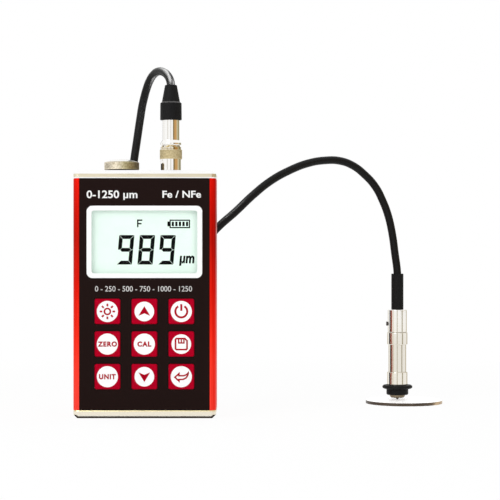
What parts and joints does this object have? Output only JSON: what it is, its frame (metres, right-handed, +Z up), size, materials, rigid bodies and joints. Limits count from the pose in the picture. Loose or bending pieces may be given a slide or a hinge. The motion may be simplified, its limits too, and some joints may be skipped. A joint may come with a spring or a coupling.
{
  "type": "coating thickness gauge",
  "caption": "Handheld coating thickness gauge: slim upright box with display, keypad and screw battery cap, with a corded spring-loaded probe on its zero plate.",
  "frame": {"origin": "centre of the gauge's base face, on the surface it stands on", "axes": "+X to the right of the display, +Y to the back of the gauge, +Z up"},
  "size_m": [0.2062, 0.1138, 0.1895],
  "materials": {
    "red_anodised": "satin anodised",
    "plate_nickel": "satin nickel plate",
    "screw_steel": "plain",
    "panel_black": "satin overlay",
    "frame_white": "smooth",
    "window_clear": "clear acrylic",
    "lcd_mint": "polariser film",
    "backlight_white": "diffusing",
    "strip_rubber": "matt",
    "board_green": "solder mask",
    "chip_black": "moulded",
    "key_red": "satin moulded",
    "tube_aluminium": "drawn",
    "contact_brass": "plain",
    "cell_jacket": "printed sleeve, left bare",
    "spring_steel": "wire",
    "seal_rubber": "matt",
    "lead_red": "PVC",
    "lead_blue": "PVC",
    "plug_nickel": "polished nickel",
    "boot_rubber": "matt moulded",
    "cord_black": "satin jacket",
    "sleeve_black": "heat shrunk",
    "probe_chrome": "polished chrome",
    "collar_rubber": "matt moulded",
    "tip_steel": "polished",
    "core_iron": "plain",
    "coil_copper": "enamelled copper wire",
    "zero_steel": "polished"
  },
  "bodies": {
    "gauge": {"housing": "red_anodised", "top_plate": "plate_nickel", "bottom_plate": "plate_nickel", "top_plate_screws": "screw_steel", "bottom_plate_screws": "screw_steel", "front_panel": "panel_black", "display_frame": "frame_white", "display_window": "window_clear", "lcd_glass": "lcd_mint", "lcd_backlight": "backlight_white", "lcd_connectors": "strip_rubber", "main_board": "board_green", "board_standoffs": "screw_steel", "board_screws": "screw_steel", "board_components": "chip_black", "key_switches": "chip_black", "battery_tube": "tube_aluminium", "battery_base": "chip_black", "battery_base_contact": "contact_brass", "battery_cells": "cell_jacket", "battery_leads": "lead_red", "probe_socket": "plug_nickel", "socket_insert": "chip_black", "socket_nut": "screw_steel", "socket_leads": "lead_blue", "plug_barrel": "plug_nickel", "plug_insert": "chip_black", "plug_pins": "contact_brass", "plug_circlip": "spring_steel", "ring_spring": "spring_steel", "plug_boot": "boot_rubber", "probe_cord": "cord_black", "probe_sleeve": "sleeve_black", "probe_cap": "probe_chrome", "probe_set_screw": "screw_steel", "probe_lock_ring": "probe_chrome", "probe_barrel": "probe_chrome", "probe_foot": "probe_chrome", "probe_collar": "collar_rubber", "probe_spring": "spring_steel", "zero_plate": "zero_steel"},
    "key_light": {"key_light": "key_red"},
    "key_up": {"key_up": "key_red"},
    "key_power": {"key_power": "key_red"},
    "key_zero": {"key_zero": "key_red"},
    "key_cal": {"key_cal": "key_red"},
    "key_save": {"key_save": "key_red"},
    "key_unit": {"key_unit": "key_red"},
    "key_down": {"key_down": "key_red"},
    "key_enter": {"key_enter": "key_red"},
    "cap_carrier": {"cap_contact": "contact_brass", "battery_spring": "spring_steel"},
    "battery_cap": {"battery_cap": "plate_nickel", "cap_seal": "seal_rubber"},
    "coupling_ring": {"coupling_ring": "plug_nickel"},
    "probe_plunger": {"probe_plunger": "tip_steel", "probe_tip": "tip_steel", "probe_core": "core_iron", "probe_coil": "coil_copper"}
  },
  "joints": [
    {"name": "key_light_press", "type": "slide", "parent": "gauge", "child": "key_light", "axis": [0, 1, 0], "range_m": [0, 0.0006], "stiffness_N_per_m": 1000, "springref_m": -0.0005},
    {"name": "key_up_press", "type": "slide", "parent": "gauge", "child": "key_up", "axis": [0, 1, 0], "range_m": [0, 0.0006], "stiffness_N_per_m": 1000, "springref_m": -0.0005},
    {"name": "key_power_press", "type": "slide", "parent": "gauge", "child": "key_power", "axis": [0, 1, 0], "range_m": [0, 0.0006], "stiffness_N_per_m": 1000, "springref_m": -0.0005},
    {"name": "key_zero_press", "type": "slide", "parent": "gauge", "child": "key_zero", "axis": [0, 1, 0], "range_m": [0, 0.0006], "stiffness_N_per_m": 1000, "springref_m": -0.0005},
    {"name": "key_cal_press", "type": "slide", "parent": "gauge", "child": "key_cal", "axis": [0, 1, 0], "range_m": [0, 0.0006], "stiffness_N_per_m": 1000, "springref_m": -0.0005},
    {"name": "key_save_press", "type": "slide", "parent": "gauge", "child": "key_save", "axis": [0, 1, 0], "range_m": [0, 0.0006], "stiffness_N_per_m": 1000, "springref_m": -0.0005},
    {"name": "key_unit_press", "type": "slide", "parent": "gauge", "child": "key_unit", "axis": [0, 1, 0], "range_m": [0, 0.0006], "stiffness_N_per_m": 1000, "springref_m": -0.0005},
    {"name": "key_down_press", "type": "slide", "parent": "gauge", "child": "key_down", "axis": [0, 1, 0], "range_m": [0, 0.0006], "stiffness_N_per_m": 1000, "springref_m": -0.0005},
    {"name": "key_enter_press", "type": "slide", "parent": "gauge", "child": "key_enter", "axis": [0, 1, 0], "range_m": [0, 0.0006], "stiffness_N_per_m": 1000, "springref_m": -0.0005},
    {"name": "cap_lift", "type": "slide", "parent": "gauge", "child": "cap_carrier", "axis": [0, 0, 1], "range_m": [0, 0.005]},
    {"name": "cap_turn", "type": "hinge", "parent": "cap_carrier", "child": "battery_cap", "pos_m": [-0.0133, 0.002, 0.132], "axis": [0, 0, 1], "range_deg": [0, 1810]},
    {"name": "ring_turn", "type": "hinge", "parent": "gauge", "child": "coupling_ring", "pos_m": [0.0133, 0.002, 0.138], "axis": [0, 0, 1], "range_deg": [0, 60]},
    {"name": "plunger_press", "type": "slide", "parent": "gauge", "child": "probe_plunger", "axis": [0, 0, 1], "range_m": [0, 0.0025], "stiffness_N_per_m": 400, "springref_m": -0.003, "deforming": ["probe_spring"]}
  ],
  "couplings": [
    {"joint": "cap_turn", "follows": "cap_lift", "rad_per_m": 6283.2}
  ]
}
